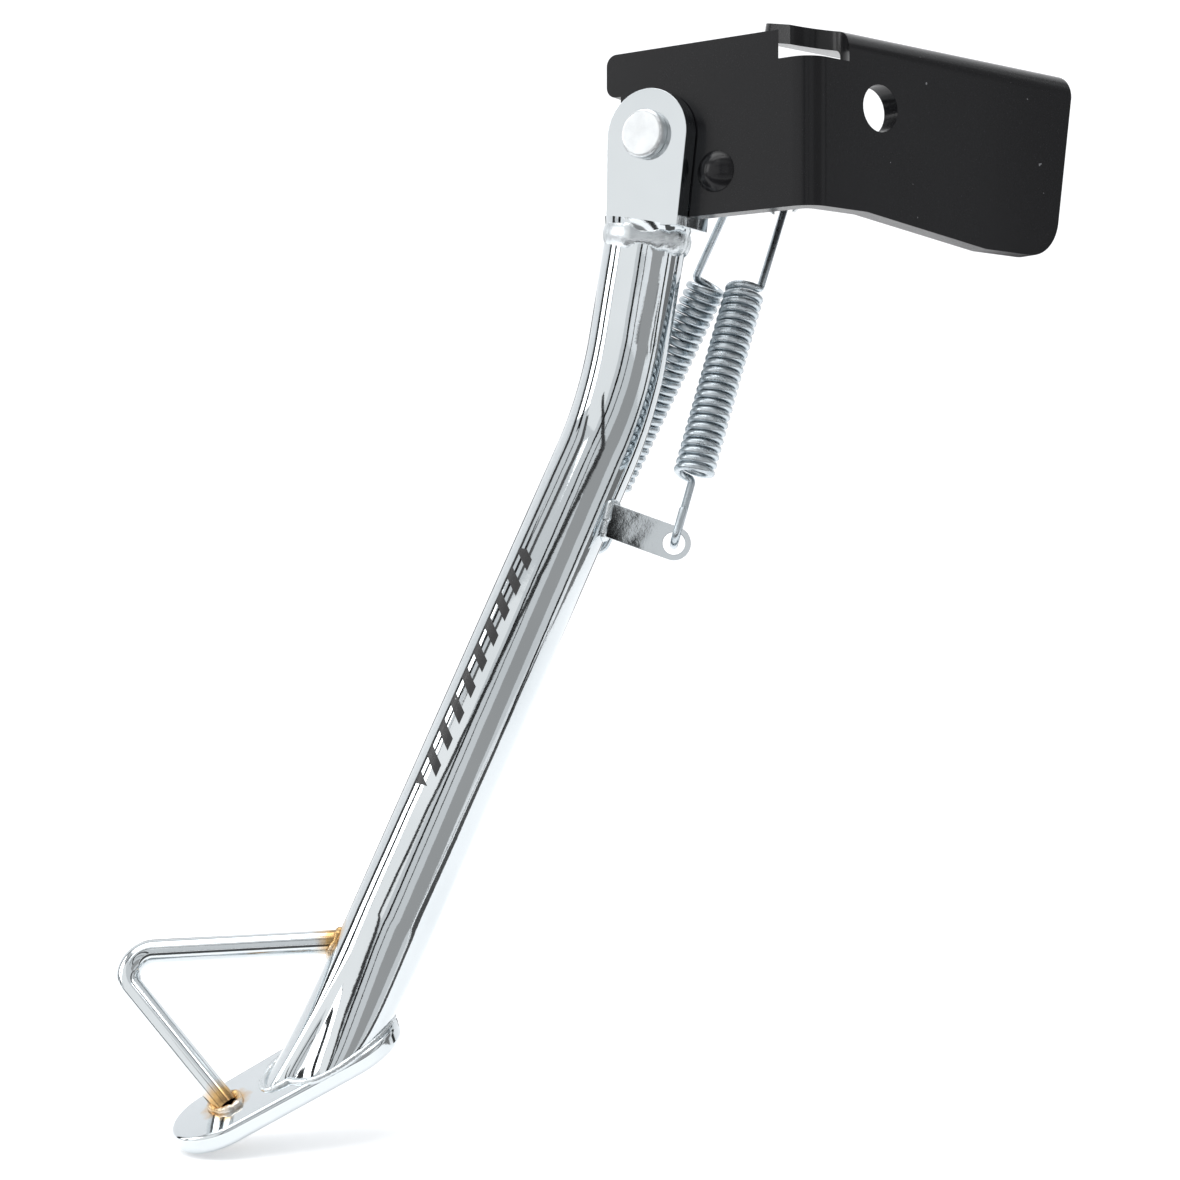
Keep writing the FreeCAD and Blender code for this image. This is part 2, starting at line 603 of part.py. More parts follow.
def spring_pieces(hook_y, anchor, turn):
    """Upper eye, coil and lower hook of one extension spring."""
    eye, hook, along, side = spring_line(hook_y, anchor, turn)
    rise = POST_D / 2 + WIRE_D / 2 + EYE_CLEAR
    rim = (COIL_D - WIRE_D) / 2
    length = (hook - eye).Length
    coil_top = eye + along * HOOK_RUN
    coil_end = eye + along * (length - HOOK_TAIL)
    upper = bent_rod([coil_top + side * rise, eye + side * rise - along * rise,
                      eye - side * rise - along * rise, eye - side * rise + along * EYE_TAIL],
                     rise * EYE_ROUND, WIRE_D / 2)
    sleeve = cylinder(COIL_D / 2, coil_top, coil_end)
    sleeve = sleeve.cut(cylinder(COIL_D / 2 - WIRE_D, coil_top - along, coil_end + along))
    _, _, _, through = tab_axes(anchor)
    skew = abs(through.dot(along))
    aside = (through - along * through.dot(along)).normalize()
    step = TAB_T / 2 * math.sqrt(1 - skew ** 2) + TAB_W / 2 * skew + WIRE_D / 2 + EYE_CLEAR
    behind = hook + aside * step
    front = hook - aside * step
    start = coil_end + aside * rim - along
    lower = bent_rod([start, behind, front, front - along * TAIL_RISE], step * HOOK_ROUND, WIRE_D / 2)
    return upper, sleeve, lower.cut(cylinder(COIL_D / 2, coil_top, coil_end))


def build():
    """Every node by name, laid out from the pivot."""
    front = spring_pieces(HOOK_Y_FRONT, FRONT_ANCHOR, 1)
    rear = spring_pieces(HOOK_Y_REAR, REAR_ANCHOR, -1)
    nodes = {
        "bracket_plate": bracket_plate(),
        "spring_post": spring_post(),
        "spring_post_clip": post_clip(),
        "pivot_pin": pivot_pin(),
        "pivot_washer": pivot_washer(),
        "clevis_yoke": clevis_yoke(),
        "yoke_weld": yoke_weld(),
        "leg_tube": leg_tube(),
        "foot_plate": foot_plate(),
        "foot_weld": foot_weld(),
        "kick_rod": kick_rod(),
        "kick_rod_leg_weld": rod_leg_weld(),
        "kick_rod_foot_weld": rod_foot_weld(),
        "front_spring_tab": spring_tab(FRONT_ANCHOR),
        "front_tab_weld": tab_weld(FRONT_ANCHOR),
        "rear_spring_tab": spring_tab(REAR_ANCHOR),
        "rear_tab_weld": tab_weld(REAR_ANCHOR),
    }
    for name, pieces in (("front_spring", front), ("rear_spring", rear)):
        for part, shape in zip(("upper_hook", "coil", "lower_hook"), pieces):
            nodes[f"{name}_{part}"] = shape
    return nodes


def main():
    os.makedirs("parts", exist_ok=True)
    for name, shape in build().items():
        shape.translate(-BOLT_CENTRE)
        shape.exportStep(f"parts/{name}.step")
        print(name, len(shape.Solids), shape.isValid(), round(shape.Volume, 1))
    _, flange_hole, flange_up = bracket_flange()
    eye_f, hook_f, _, _ = spring_line(HOOK_Y_FRONT, FRONT_ANCHOR, 1)
    eye_r, hook_r, _, _ = spring_line(HOOK_Y_REAR, REAR_ANCHOR, -1)
    places = {"pivot": ZERO, "flange_hole": flange_hole, "post": Vector(POST_X, 0, POST_Z),
              "front_eye": eye_f, "front_hook": hook_f, "rear_eye": eye_r, "rear_hook": hook_r,
              "foot_tip": FOOT_TIP, "sole": FOOT_TIP - FOOT_UP * FOOT_T - FOOT_ALONG * HEEL_BACK / 2}
    for name, place in places.items():
        at = place - BOLT_CENTRE
        print(name, round(at.x, 3), round(at.y, 3), round(at.z, 3))
    for name, way in (("wall_out", WALL_OUT), ("flange_up", flange_up), ("foot_up", FOOT_UP)):
        print(name, round(way.x, 5), round(way.y, 5), round(way.z, 5))


main()
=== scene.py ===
import math
import random

import bmesh
import bpy
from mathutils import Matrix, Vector


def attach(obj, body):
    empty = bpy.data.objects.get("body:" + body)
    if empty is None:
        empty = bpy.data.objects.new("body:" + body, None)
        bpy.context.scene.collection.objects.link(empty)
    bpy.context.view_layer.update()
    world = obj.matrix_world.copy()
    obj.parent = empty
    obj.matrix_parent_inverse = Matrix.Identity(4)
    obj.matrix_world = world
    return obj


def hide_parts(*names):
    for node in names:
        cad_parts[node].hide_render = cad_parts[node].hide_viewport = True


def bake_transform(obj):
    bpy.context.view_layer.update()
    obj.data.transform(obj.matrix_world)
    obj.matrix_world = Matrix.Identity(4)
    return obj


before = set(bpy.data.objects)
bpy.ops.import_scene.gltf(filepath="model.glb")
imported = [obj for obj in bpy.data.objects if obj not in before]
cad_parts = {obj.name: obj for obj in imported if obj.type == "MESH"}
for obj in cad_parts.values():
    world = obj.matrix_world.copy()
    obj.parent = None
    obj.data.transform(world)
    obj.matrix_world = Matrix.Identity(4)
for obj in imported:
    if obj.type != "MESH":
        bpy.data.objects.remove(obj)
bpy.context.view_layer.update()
bpy.ops.object.select_all(action="DESELECT")

# ---- folded bracket -----------------------------------------------------------
# One pressed and folded 5 mm steel sheet with a softly rolled edge all round,
# finished in thick gloss black enamel with a slight orange peel.


class Sock:
    """A shader socket that takes part in arithmetic."""

    def __init__(self, tree, socket):
        self.tree, self.socket = tree, socket

    def add(self, kind, out=0, inputs=None, **props):
        node = self.tree.nodes.new(kind)
        for key, value in props.items():
            setattr(node, key, value)
        for key, value in (inputs or {}).items():
            if isinstance(value, Sock):
                self.tree.links.new(value.socket, node.inputs[key])
            else:
                node.inputs[key].default_value = value
        return Sock(self.tree, node.outputs[out])

    def op(self, kind, other=0.0, flip=False, clamp=False):
        first, second = (other, self) if flip else (self, other)
        return self.add("ShaderNodeMath", inputs={0: first, 1: second}, operation=kind, use_clamp=clamp)

    def __add__(self, other):
        return self.op("ADD", other)

    def __radd__(self, other):
        return self.op("ADD", other, True)

    def __sub__(self, other):
        return self.op("SUBTRACT", other)

    def __rsub__(self, other):
        return self.op("SUBTRACT", other, True)

    def __mul__(self, other):
        return self.op("MULTIPLY", other)

    def __rmul__(self, other):
        return self.op("MULTIPLY", other, True)

    def __truediv__(self, other):
        return self.op("DIVIDE", other)

    def __rtruediv__(self, other):
        return self.op("DIVIDE", other, True)

    def __lt__(self, other):
        return self.op("LESS_THAN", other)

    def __gt__(self, other):
        return self.op("GREATER_THAN", other)

    def clamp(self):
        return self.op("ADD", 0.0, clamp=True)

    def noise(self, scale, detail=2.0, rough=0.5):
        return self.add("ShaderNodeTexNoise", inputs={"Vector": self, "Scale": scale, "Detail": detail,
                                                      "Roughness": rough})

    def near(self, point, reach):
        """1 at a point, falling to 0 at a distance."""
        gap = self.add("ShaderNodeVectorMath", 1, {0: self, 1: tuple(point)}, operation="DISTANCE")
        return (1.0 - gap / reach).clamp()

    def tint(self, low, high):
        """Colour between two, by this value."""
        return self.add("ShaderNodeMix", 2, {0: self, 6: low, 7: high}, data_type="RGBA")


def material(name):
    """A material, its surface shader's inputs, its object coordinates and a way to feed it."""
    mat = bpy.data.materials.new(name)
    mat.use_nodes = True
    tree = mat.node_tree
    shader = tree.nodes["Principled BSDF"]
    place = Sock(tree, tree.nodes.new("ShaderNodeTexCoord").outputs["Object"])

    def feed(**values):
        for key, value in values.items():
            key = key.replace("_", " ")
            if isinstance(value, Sock):
                tree.links.new(value.socket, shader.inputs[key])
            else:
                shader.inputs[key].default_value = value

    return mat, place, feed


def bumped(height, strength, distance):
    return height.add("ShaderNodeBump", inputs={"Height": height, "Strength": strength, "Distance": distance})


def smooth(obj, degrees=35.0):
    bpy.ops.object.select_all(action="DESELECT")
    bpy.context.view_layer.objects.active = obj
    obj.select_set(True)
    bpy.ops.object.shade_smooth_by_angle(angle=math.radians(degrees))
    obj.select_set(False)


MERGE_GAP = 2e-5
FLAT_WITHIN, ROLL_OVER, SHADE_SMOOTH_TO = 0.6, 32, 38.0


def rounded_copy(node, width, segments=3, shift=None):
    """Merged copy of a CAD node with its sharp edges rolled, standing for the node."""
    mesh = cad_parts[node].data.copy()
    mesh.materials.clear()
    work = bmesh.new()
    work.from_mesh(mesh)
    bmesh.ops.remove_doubles(work, verts=work.verts, dist=MERGE_GAP)
    bmesh.ops.dissolve_limit(work, angle_limit=math.radians(FLAT_WITHIN), verts=work.verts,
                             edges=work.edges)
    for vert in work.verts if shift else ():
        vert.co += shift(vert.co)
    bmesh.ops.recalc_face_normals(work, faces=work.faces)
    work.to_mesh(mesh)
    work.free()
    obj = bpy.data.objects.new(node + "_body", mesh)
    bpy.context.collection.objects.link(obj)
    bpy.context.view_layer.objects.active = obj
    obj.select_set(True)
    roll = obj.modifiers.new("roll", "BEVEL")
    roll.limit_method, roll.angle_limit = "ANGLE", math.radians(ROLL_OVER)
    roll.width, roll.segments, roll.use_clamp_overlap = width, segments, True
    bpy.ops.object.modifier_apply(modifier="roll")
    flat = obj.modifiers.new("flat", "WEIGHTED_NORMAL")
    flat.keep_sharp = True
    smooth(obj, SHADE_SMOOTH_TO)
    bpy.context.view_layer.objects.active = obj
    bpy.ops.object.modifier_apply(modifier="flat")
    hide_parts(node)
    return obj


def dress(obj, mat, body):
    obj.data.materials.clear()
    obj.data.materials.append(mat)
    if body:
        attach(obj, body)
    return obj


enamel, place, feed = material("black_enamel")
peel = place.noise(900.0, 2.0)
sag = place.noise(45.0, 2.0)
dust = place.noise(2300.0, 1.0)
speck = (place.noise(620.0, 0.0) > 0.86) * (sag > 0.55)
worn = speck * 0.7
feed(Base_Color=worn.tint((0.006, 0.006, 0.007, 1), (0.20, 0.20, 0.21, 1)),
     Roughness=0.19 + sag * 0.08 + (dust > 0.70) * 0.05 + speck * 0.3, IOR=1.42, Specular_IOR_Level=0.32,
     Coat_Weight=0.07, Coat_Roughness=0.10, Normal=bumped(peel * 0.5 + sag * 2.0, 0.05, 0.0004))
dress(rounded_copy("bracket_plate", 0.0009, 4), enamel, "bracket")

# ---- spring post --------------------------------------------------------------
# Turned steel rivet with a domed head, pressed through the face and painted over
# together with the bracket. Its rear shank carries both spring eyes.
dress(rounded_copy("spring_post", 0.0003, 2), enamel, "bracket")

# ---- post clip ----------------------------------------------------------------
# Open retaining clip stamped from zinc-plated spring steel, snapped into the
# post's groove so that the eyes can't walk off.
zinc, place, feed = material("zinc_plate")
cloud = place.noise(180.0, 4.0, 0.6)
grain = place.noise(2600.0, 2.0)
feed(Base_Color=cloud.tint((0.50, 0.52, 0.53, 1), (0.76, 0.78, 0.79, 1)), Metallic=1.0,
     Roughness=0.24 + cloud * 0.16, Normal=bumped(grain + cloud, 0.12, 0.0002))
dress(rounded_copy("spring_post_clip", 0.0002, 2), zinc, "bracket")

# ---- pivot pin and washer -----------------------------------------------------
# Headed pin of zinc-plated steel through both ears, its rear end upset over a
# plain washer. The head's face keeps a dull, slightly cloudy passivated look.
dress(rounded_copy("pivot_pin", 0.00045, 3), zinc, "leg")
dress(rounded_copy("pivot_washer", 0.0003, 2), zinc, "leg")

# ---- clevis -------------------------------------------------------------------
# U-shaped clevis pressed from 5 mm plate, welded on the tube's end and plated
# with it, so that its edges are soft and bright.
PIVOT = Vector((-52.133, -21.659, -5.7))
FOOT_ALONG = Vector((-0.3695, -0.8260, -0.4258)).normalized()
FOOT_ACROSS = Vector((0.9209, -0.3867, -0.0489))
FOOT_UP = Vector((-0.12424, -0.41018, 0.9035)).normalized()
TIP = Vector((-59.0, -109.5, -246.0))
LEG_UP = Vector((-0.19081, 0.0, -0.98163))
UPPER_RUN = 71.7
BEND = LEG_UP * UPPER_RUN
LEG_LOW = Vector((-0.186, -0.505, -1.0)).normalized()
TUBE_R = 11.0


def leg_axis_at(drop):
    return BEND + LEG_LOW * ((-drop - BEND.z) / LEG_LOW.z)


ROD_HEADING = Vector((math.cos(math.radians(213)), math.sin(math.radians(213)), 0))
TUBE_WALL = 2.5
ROD_TOP_DROP, ROD_REACH, ROD_SAG, ROD_LAND_BACK = 209.0, 61.5, 3.3, 2.5
ROD_START = leg_axis_at(ROD_TOP_DROP) + ROD_HEADING * (TUBE_R - TUBE_WALL)
ROD_CORNER = ROD_START + ROD_HEADING * ROD_REACH - Vector((0, 0, ROD_SAG))
ROD_LAND = TIP - FOOT_ALONG * ROD_LAND_BACK
ROD_AT_LEG = (ROD_START + ROD_HEADING * TUBE_WALL + PIVOT) / 1000
ROD_AT_FOOT = (ROD_LAND + PIVOT) / 1000


def chrome_base(place):
    """Bright chrome plate, with the gold and brown heat tint round the kick rod's welds."""
    cloud = place.noise(26.0, 3.0)
    smear = place.noise(210.0, 5.0, 0.65)
    pit = (place.noise(1500.0, 1.0) > 0.78) * (place.noise(90.0, 1.0) > 0.55)
    edge = place.noise(420.0, 3.0) * 0.45
    heat = place.near(ROD_AT_LEG, 0.0085).op("MAXIMUM", place.near(ROD_AT_FOOT, 0.0080))
    heat = (heat * 1.25 - edge).clamp()
    bright = cloud.tint((0.60, 0.64, 0.66, 1), (0.74, 0.775, 0.795, 1))
    gold = (heat * 2.2).clamp().tint(bright, (0.62, 0.40, 0.17, 1))
    burnt = (heat * 3.2 - 1.5).clamp().tint(gold, (0.13, 0.07, 0.035, 1))
    rough = 0.035 + smear * 0.05 + pit * 0.10 + heat * 0.16
    return burnt, rough, cloud + smear * 0.06


chrome, place, feed = material("chrome_plate")
colour, rough, height = chrome_base(place)
feed(Base_Color=colour, Metallic=1.0, Roughness=rough, Normal=bumped(height, 0.35, 0.0006))
dress(rounded_copy("clevis_yoke", 0.0011, 4), chrome, "leg")

# ---- leg tube -----------------------------------------------------------------
# 22 mm steel tube, drawn over a bending form below the clevis, its lower end
# pressed to a long oval with a V dent in front, then chrome plated. A row of
# plain slanted bars is printed on its outer side.


def rounded_path(points, radii, step=0.7):
    """Points along straight runs joined by tangent arcs."""
    path = [points[0]]
    for before, corner, after, radius in zip(points, points[1:], points[2:], radii):
        to_start, to_end = (before - corner).normalized(), (after - corner).normalized()
        half = to_start.angle(to_end) / 2
        setback = radius / math.tan(half)
        centre = corner + (to_start + to_end).normalized() * (radius / math.sin(half))
        arm_in = corner + to_start * setback - centre
        arm_out = corner + to_end * setback - centre
        turn = arm_in.angle(arm_out)
        count = max(4, int(radius * turn / step))
        for i in range(count + 1):
            part = i / count
            swing = arm_in * math.sin((1 - part) * turn) + arm_out * math.sin(part * turn)
            path.append(centre + swing / math.sin(turn))
    path.append(points[-1])
    return path


def skin(name, rings, closed=False, lengths=None):
    """Mesh over rings of points in pivot millimetres, capped unless the rings join up."""
    count = len(rings[0])
    verts = [(point + PIVOT) / 1000 for ring in rings for point in ring]
    faces = []
    for i in range(len(rings) if closed else len(rings) - 1):
        here, there = i * count, (i + 1) % len(rings) * count
        faces += [(here + k, here + (k + 1) % count, there + (k + 1) % count, there + k)
                  for k in range(count)]
    side_faces = len(faces)
    if not closed:
        for ring, base in ((rings[0], 0), (rings[-1], (len(rings) - 1) * count)):
            hub = len(verts)
            verts.append((sum(ring, Vector()) / count + PIVOT) / 1000)
            faces += [(base + k, base + (k + 1) % count, hub) for k in range(count)]
    mesh = bpy.data.meshes.new(name)
    mesh.from_pydata([tuple(vert) for vert in verts], [], faces)
    if lengths:
        layer = mesh.uv_layers.new(name="UVMap")
        for face in range(side_faces):
            i, k = divmod(face, count)
            corners = ((i, k), (i, k + 1), (i + 1, k + 1), (i + 1, k))
            for loop, (ring_at, side_at) in zip(mesh.polygons[face].loop_indices, corners):
                layer.data[loop].uv = (lengths[ring_at] / 1000, side_at / count)
    work = bmesh.new()
    work.from_mesh(mesh)
    bmesh.ops.recalc_face_normals(work, faces=work.faces)
    work.to_mesh(mesh)
    work.free()
    obj = bpy.data.objects.new(name, mesh)
    bpy.context.collection.objects.link(obj)
    smooth(obj, 50.0)
    return obj


def round_turns(count):
    """Angles once round, evenly spaced."""
    return [2 * math.pi * k / count for k in range(count)]


LEG_SIDES, FLARE_STEPS, PATH_STEP, RING_GAP = 96, 48, 2.0, 3.0
TUBE_START, BEND_R, FLARE_DROP = 22.5, 75.0, 205.0
TOP_SWELL, TOP_SWELL_RUN = 0.9, 2.6
path = rounded_path([LEG_UP * TUBE_START, BEND, leg_axis_at(FLARE_DROP)], [BEND_R], PATH_STEP)
spread = [path[0]]
for near, far in zip(path, path[1:]):
    pieces = max(1, int((far - near).length / RING_GAP))
    spread += [near.lerp(far, (i + 1) / pieces) for i in range(pieces)]
rings, lengths, run = [], [], 0.0
for i, point in enumerate(spread):
    tangent = (spread[min(i + 1, len(spread) - 1)] - spread[max(i - 1, 0)]).normalized()
    ahead = (FOOT_ALONG - tangent * FOOT_ALONG.dot(tangent)).normalized()
    across = tangent.cross(ahead)
    run += (point - spread[i - 1]).length if i else 0.0
    size = TUBE_R + TOP_SWELL * math.exp(-((run / TOP_SWELL_RUN) ** 2))
    rings.append([point + ahead * (size * math.cos(turn)) + across * (size * math.sin(turn))
                  for turn in round_turns(LEG_SIDES)])
    lengths.append(run)
end_ring, end_ahead, end_across = rings[-1], ahead, across

PAD_BACK, PAD_SIDE, PAD_SUNK = 26.0, 5.5, 0.4
PAD_AHEAD, PAD_BEHIND, PAD_WIDE, PAD_TAPER = 15.0, 22.0, 11.5, 0.10
FOOT_LEVEL = FOOT_UP.cross(FOOT_ALONG)
FOOT_LEVEL = FOOT_LEVEL if FOOT_LEVEL.dot(end_across) > 0 else -FOOT_LEVEL
PAD = TIP - FOOT_ALONG * PAD_BACK + FOOT_ACROSS * PAD_SIDE
pad_ring = []
for turn in round_turns(LEG_SIDES):
    nose = max(0.0, math.cos(turn))
    half_long = PAD_AHEAD if math.cos(turn) > 0 else PAD_BEHIND
    pad_ring.append(PAD + FOOT_ALONG * (half_long * math.cos(turn)) - FOOT_UP * PAD_SUNK
                    + FOOT_LEVEL * (PAD_WIDE * math.sin(turn) * (1 - PAD_TAPER * nose)))

PRESS_FROM, PRESS_RUN = 0.30, 0.62
LEAVE_BACK, LEAVE_LESS = 22.0, 8.0
LAND_BACK, LAND_DOWN, LAND_AHEAD = 16.0, 10.0, 12.0
DENT, DENT_HALF, DENT_WIDEN, DENT_SHARP, CREASE_SHARE = 6.0, 0.20, 0.42, 1.4, 0.55
outward = Vector((0.5446, -0.8387, 0))
leftward = Vector((-0.8387, -0.5446, 0))
crease = CREASE_SHARE * math.atan2(outward.dot(end_across), outward.dot(end_ahead))
inward = end_ahead * -math.cos(crease) - end_across * math.sin(crease)
for i in range(1, FLARE_STEPS + 1):
    part = i / FLARE_STEPS
    hold_start, leave_start = 2 * part ** 3 - 3 * part ** 2 + 1, part ** 3 - 2 * part ** 2 + part
    hold_end, land_end = -2 * part ** 3 + 3 * part ** 2, part ** 3 - part ** 2
    grow = max(0.0, min(1.0, (part - PRESS_FROM) / PRESS_RUN))
    press = grow * grow * (3 - 2 * grow)
    ring = []
    for start, stop, turn in zip(end_ring, pad_ring, round_turns(LEG_SIDES)):
        front = (1 + math.cos(turn)) / 2
        leave = LEG_LOW * (LEAVE_BACK - LEAVE_LESS * front)
        land = (LEG_LOW * LAND_BACK * (1 - front)
                + (LEG_LOW * LAND_DOWN + FOOT_ALONG * LAND_AHEAD) * front)
        point = start * hold_start + leave * leave_start + stop * hold_end + land * land_end
        off = abs((turn - crease + math.pi) % (2 * math.pi) - math.pi)
        share = max(0.0, 1.0 - off / (DENT_HALF + DENT_WIDEN * press)) ** DENT_SHARP
        ring.append(point + (inward - FOOT_UP * inward.dot(FOOT_UP)) * (DENT * press * share))
    run += 1.0
    rings.append(ring)
    lengths.append(run)
leg = skin("leg_tube_body", rings, lengths=lengths)
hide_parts("leg_tube")

BAR_DROP, BAR_TURN, BAR_SLANT = 113.0, math.radians(36), 0.9
BAR_ROW, BAR_HALF, BAR_PITCH, BAR_SHARE = 0.068, 0.0028, 0.0074, 0.46
bar_origin = next(length for length, point in zip(lengths, spread) if -point.z > BAR_DROP)
outer = outward * math.cos(BAR_TURN) + leftward * math.sin(BAR_TURN)
outer = (outer - LEG_LOW * outer.dot(LEG_LOW)).normalized()
bar_turn = (math.atan2(outer.dot(end_across), outer.dot(end_ahead)) / (2 * math.pi)) % 1.0
printed, place, feed = material("chrome_plate_printed")
colour, rough, height = chrome_base(place)
split = place.add("ShaderNodeSeparateXYZ", 0, {0: place.add("ShaderNodeTexCoord", 2)})
along = split - bar_origin / 1000
around = Sock(split.tree, split.socket.node.outputs[1]) - bar_turn
arc = around * (2 * math.pi * TUBE_R / 1000)
phase = ((along + arc * BAR_SLANT) / BAR_PITCH).op("FRACT")
inside = (along > 0.0) * (along < BAR_ROW) * (arc.op("ABSOLUTE") < BAR_HALF)
ink = inside * (phase < BAR_SHARE) * (place.noise(1900.0, 3.0) < 0.74)
feed(Base_Color=ink.tint(colour, (0.012, 0.012, 0.013, 1)), Metallic=1.0 - ink,
     Roughness=rough + ink * 0.25, Normal=bumped(height, 0.35, 0.0006))
dress(leg, printed, "leg")

# ---- weld under the clevis ----------------------------------------------------
# Heavy hand-laid bead that closes the tube's end against the clevis. It is
# rippled and lumpy, and plated with the rest.


def weld(node, loop, centre, size, seed, lumps=0.22, ripple=1.5, tall=1.0):
    """Rippled bead along a closed loop of points, its section drawn out by tall."""
    chance = random.Random(seed)
    shift = [chance.uniform(0, 6.28) for _ in range(4)]
    count, sides, rings = len(loop), 16, []
    length = sum((loop[(i + 1) % count] - loop[i]).length for i in range(count))
    for i, point in enumerate(loop):
        ahead = (loop[(i + 1) % count] - loop[i - 1]).normalized()
        away = point - centre
        away = (away - ahead * away.dot(ahead)).normalized()
        third = ahead.cross(away)
        run = 2 * math.pi * i / count
        swell = 1 + lumps * (0.5 * math.sin(3 * run + shift[0]) + 0.35 * math.sin(5 * run + shift[1])
                             + 0.3 * math.sin(9 * run + shift[2]))
        swell += 0.10 * abs(math.sin(math.pi * round(length / ripple) * i / count + shift[3]))
        rings.append([point + (away * math.cos(turn) + third * (tall * math.sin(turn))) * size * swell
                      for turn in round_turns(sides)])
    obj = skin(node + "_bead", rings, closed=True)
    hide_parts(node)
    return dress(obj, bead, "leg")


bead, place, feed = material("plated_weld")
colour, rough, height = chrome_base(place)
ripples = place.noise(700.0, 4.0, 0.7)
feed(Base_Color=colour, Metallic=1.0, Roughness=rough + ripples * 0.20,
     Normal=bumped(height + ripples * 0.7, 0.5, 0.0006))
YOKE_TILT, YOKE_WELD_DROP, YOKE_WELD_PAST = math.radians(4), 24.0, 1.9
YOKE_WELD_R, YOKE_WELD_SIZE, YOKE_WELD_DIP = 10.4, 1.5, 0.5
YOKE_DOWN = Vector((-math.sin(YOKE_TILT), 0, -math.cos(YOKE_TILT)))
seam = LEG_UP * (YOKE_WELD_DROP / LEG_UP.dot(YOKE_DOWN)) + YOKE_DOWN * YOKE_WELD_PAST
side = LEG_UP.cross(Vector((0, 1, 0))).normalized()
loop = []
for turn in round_turns(180):
    arm = side * (YOKE_WELD_R * math.cos(turn)) + Vector((0, 1, 0)) * (YOKE_WELD_R * math.sin(turn))
    loop.append(seam + arm + LEG_UP * (YOKE_WELD_DIP + YOKE_WELD_DIP * math.sin(turn) ** 2))
weld("yoke_weld", loop, seam, YOKE_WELD_SIZE, seed=3, lumps=0.34, ripple=4.2, tall=2.0)

# ---- foot ---------------------------------------------------------------------
# Flat 5 mm foot plate with round tip and heel, its rim rolled soft before
# plating, and the smooth fillet of weld that joins the oval tube end to it.
HEEL_LONGER, HEEL_FROM, HEEL_RUN = 0.0052, 0.012, 0.03
WELD_STAND, FOOT_WELD_SIZE = 0.3, 0.9


def longer_heel(point):
    """Move that lengthens the plate towards its heel and leaves the tip alone."""
    behind = ((TIP + PIVOT) / 1000 - point).dot(FOOT_ALONG)
    return -FOOT_ALONG * HEEL_LONGER * max(0.0, min(1.0, (behind - HEEL_FROM) / HEEL_RUN))


dress(rounded_copy("foot_plate", 0.0012, 4, longer_heel), chrome, "leg")
loop = [point + FOOT_UP * WELD_STAND for point in rings[-1]]
weld("foot_weld", loop, PAD, FOOT_WELD_SIZE, seed=5, lumps=0.20, ripple=2.2)

# ---- kick rod -----------------------------------------------------------------
# 6 mm bright bar bent to a tight V, fillet welded to the leg and to the foot's
# tip. The plating is tinted gold and brown where the welds ran hot.


def sweep(name, path, radius, sides=24, round_ends=True):
    """Round bar along a path of points, its ends domed."""
    rings, count = [], len(path)
    tangents = [(path[min(i + 1, count - 1)] - path[max(i - 1, 0)]).normalized() for i in range(count)]
    stations = [(point, 1.0, tangent) for point, tangent in zip(path, tangents)]
    if round_ends:
        dome = [(math.sin(lean), 0.5 - 0.5 * math.cos(lean)) for lean in (0.35, 0.8, 1.2)]
        dome.append((1.0, 0.55))
        head = [(path[0] + tangents[0] * radius * rise, size, tangents[0]) for size, rise in dome]
        tail = [(path[-1] - tangents[-1] * radius * rise, size, tangents[-1])
                for size, rise in reversed(dome)]
        stations = head + stations[1:-1] + tail
    normal = tangents[0].orthogonal().normalized()
    for point, size, tangent in stations:
        normal = (normal - tangent * normal.dot(tangent)).normalized()
        other = tangent.cross(normal)
        rings.append([point + (normal * math.cos(turn) + other * math.sin(turn)) * radius * size
                      for turn in round_turns(sides)])
    return skin(name, rings)


ROD_R, ROD_BEND_R, ROD_INTO_FOOT = 3.0, 6.0, 0.8
path = rounded_path([ROD_START, ROD_CORNER, ROD_LAND - FOOT_UP * ROD_INTO_FOOT], [ROD_BEND_R], 0.35)
rod = sweep("kick_rod_bar", path, ROD_R, 40, round_ends=False)
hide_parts("kick_rod")
dress(rod, chrome, "leg")


def land_on_leg(point, way):
    """Where a line from outside first meets the tube, going along a direction."""
    off = point - leg_axis_at(0)
    off -= LEG_LOW * off.dot(LEG_LOW)
    flat = way - LEG_LOW * way.dot(LEG_LOW)
    square, double, rest = flat.dot(flat), 2 * off.dot(flat), off.dot(off) - TUBE_R ** 2
    root = math.sqrt(max(0.0, double * double - 4 * square * rest))
    return point + way * ((-double + root) / (2 * square))


def arms_round(axis, radius, count):
    """Arms square to an axis, evenly spaced once round it."""
    first = axis.orthogonal().normalized()
    second = axis.cross(first)
    return [(first * math.cos(turn) + second * math.sin(turn)) * radius for turn in round_turns(count)]


ROD_WELD_R, ROD_WELD_SIDES, TIP_WELD_STAND = 3.1, 90, 0.2
axis = (ROD_CORNER - ROD_START).normalized()
start = ROD_START - ROD_HEADING * (TUBE_R - TUBE_WALL)
loop = [land_on_leg(start + arm, axis) for arm in arms_round(axis, ROD_WELD_R, ROD_WELD_SIDES)]
weld("kick_rod_leg_weld", loop, loop[0].lerp(loop[ROD_WELD_SIDES // 2], 0.5), 0.95, seed=8,
     lumps=0.3, ripple=1.3)
axis = (ROD_CORNER - ROD_LAND).normalized()
loop = [ROD_LAND + arm - axis * (arm.dot(FOOT_UP) / axis.dot(FOOT_UP)) + FOOT_UP * TIP_WELD_STAND
        for arm in arms_round(axis, ROD_WELD_R, ROD_WELD_SIDES)]
weld("kick_rod_foot_weld", loop, ROD_LAND, 1.05, seed=9, lumps=0.3, ripple=1.3)

